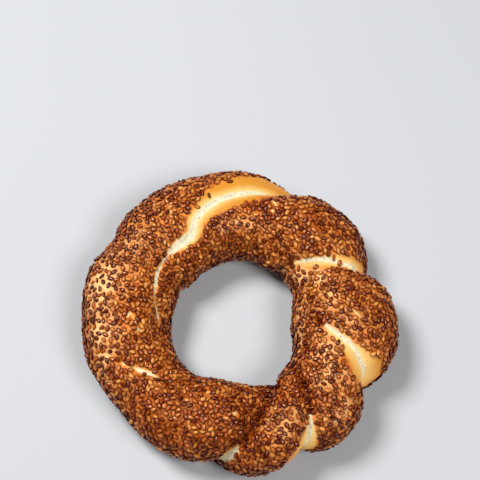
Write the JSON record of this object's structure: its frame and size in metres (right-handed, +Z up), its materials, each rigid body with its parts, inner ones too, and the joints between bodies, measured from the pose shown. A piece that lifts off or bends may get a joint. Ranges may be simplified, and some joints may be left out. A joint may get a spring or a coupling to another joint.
{
  "type": "simit",
  "caption": "Ring-shaped sesame bread of two twisted ropes of dough, lying flat, with seeds on its crust and bare dough along the split seams.",
  "frame": {"origin": "on the floor, under the middle of the ring's bounding box", "axes": "+Z up out of the ring, which lies flat; +X to the right and +Y away from the viewer in the picture"},
  "size_m": [0.153, 0.153, 0.0364],
  "materials": {
    "crust": "baked, glazed and covered in toasted sesame seeds"
  },
  "bodies": {
    "root": {"simit": "crust"}
  },
  "joints": []
}
